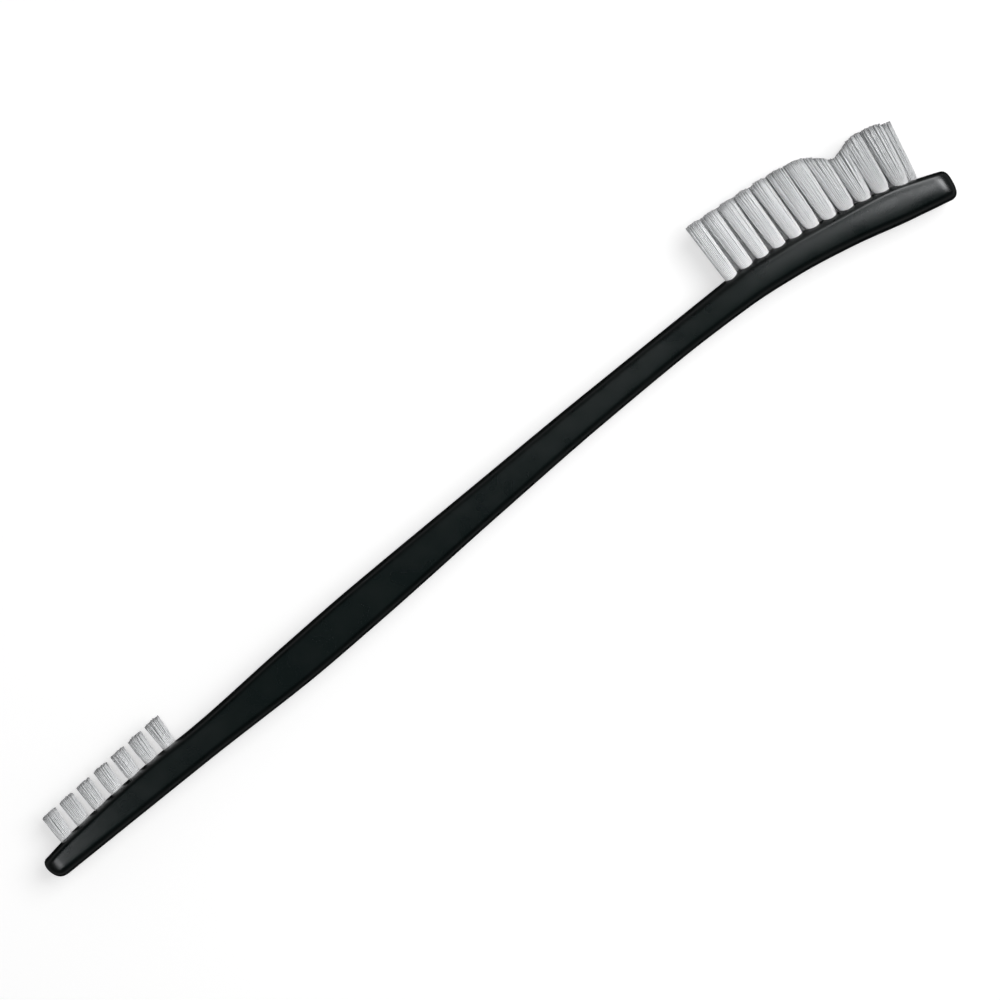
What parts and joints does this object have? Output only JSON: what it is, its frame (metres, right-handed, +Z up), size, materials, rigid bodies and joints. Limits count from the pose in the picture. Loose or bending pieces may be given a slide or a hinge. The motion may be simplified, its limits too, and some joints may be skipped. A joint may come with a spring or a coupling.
{
  "type": "club groove brush",
  "caption": "Slim double-ended hand brush: a black plastic handle with a long contoured bristle head at one end and a short narrow one at the other.",
  "frame": {"origin": "middle of the bounding box's underside: the brush lies on its side on z = 0", "axes": "+X along the brush from the toe of the long head towards the small end; bristle tips point to -Y and the back of the handle to +Y; +Z up, across the handle's width"},
  "size_m": [0.178, 0.0228, 0.0084],
  "materials": {
    "handle_plastic": "black moulded plastic, satin",
    "bristle_nylon": "milky translucent nylon filament",
    "anchor_metal": "flat stamped strip, plain"
  },
  "bodies": {
    "root": {"handle": "handle_plastic", "large_tuft_near_01": "bristle_nylon", "large_tuft_near_02": "bristle_nylon", "large_tuft_near_03": "bristle_nylon", "large_tuft_near_04": "bristle_nylon", "large_tuft_near_05": "bristle_nylon", "large_tuft_near_06": "bristle_nylon", "large_tuft_near_07": "bristle_nylon", "large_tuft_near_08": "bristle_nylon", "large_tuft_near_09": "bristle_nylon", "large_tuft_near_10": "bristle_nylon", "large_tuft_near_11": "bristle_nylon", "large_tuft_far_01": "bristle_nylon", "large_tuft_far_02": "bristle_nylon", "large_tuft_far_03": "bristle_nylon", "large_tuft_far_04": "bristle_nylon", "large_tuft_far_05": "bristle_nylon", "large_tuft_far_06": "bristle_nylon", "large_tuft_far_07": "bristle_nylon", "large_tuft_far_08": "bristle_nylon", "large_tuft_far_09": "bristle_nylon", "large_tuft_far_10": "bristle_nylon", "large_tuft_far_11": "bristle_nylon", "small_tuft_01": "bristle_nylon", "small_tuft_02": "bristle_nylon", "small_tuft_03": "bristle_nylon", "small_tuft_04": "bristle_nylon", "small_tuft_05": "bristle_nylon", "small_tuft_06": "bristle_nylon", "small_tuft_07": "bristle_nylon", "large_anchor_near_01": "anchor_metal", "large_anchor_near_02": "anchor_metal", "large_anchor_near_03": "anchor_metal", "large_anchor_near_04": "anchor_metal", "large_anchor_near_05": "anchor_metal", "large_anchor_near_06": "anchor_metal", "large_anchor_near_07": "anchor_metal", "large_anchor_near_08": "anchor_metal", "large_anchor_near_09": "anchor_metal", "large_anchor_near_10": "anchor_metal", "large_anchor_near_11": "anchor_metal", "large_anchor_far_01": "anchor_metal", "large_anchor_far_02": "anchor_metal", "large_anchor_far_03": "anchor_metal", "large_anchor_far_04": "anchor_metal", "large_anchor_far_05": "anchor_metal", "large_anchor_far_06": "anchor_metal", "large_anchor_far_07": "anchor_metal", "large_anchor_far_08": "anchor_metal", "large_anchor_far_09": "anchor_metal", "large_anchor_far_10": "anchor_metal", "large_anchor_far_11": "anchor_metal", "small_anchor_01": "anchor_metal", "small_anchor_02": "anchor_metal", "small_anchor_03": "anchor_metal", "small_anchor_04": "anchor_metal", "small_anchor_05": "anchor_metal", "small_anchor_06": "anchor_metal", "small_anchor_07": "anchor_metal"}
  },
  "joints": []
}
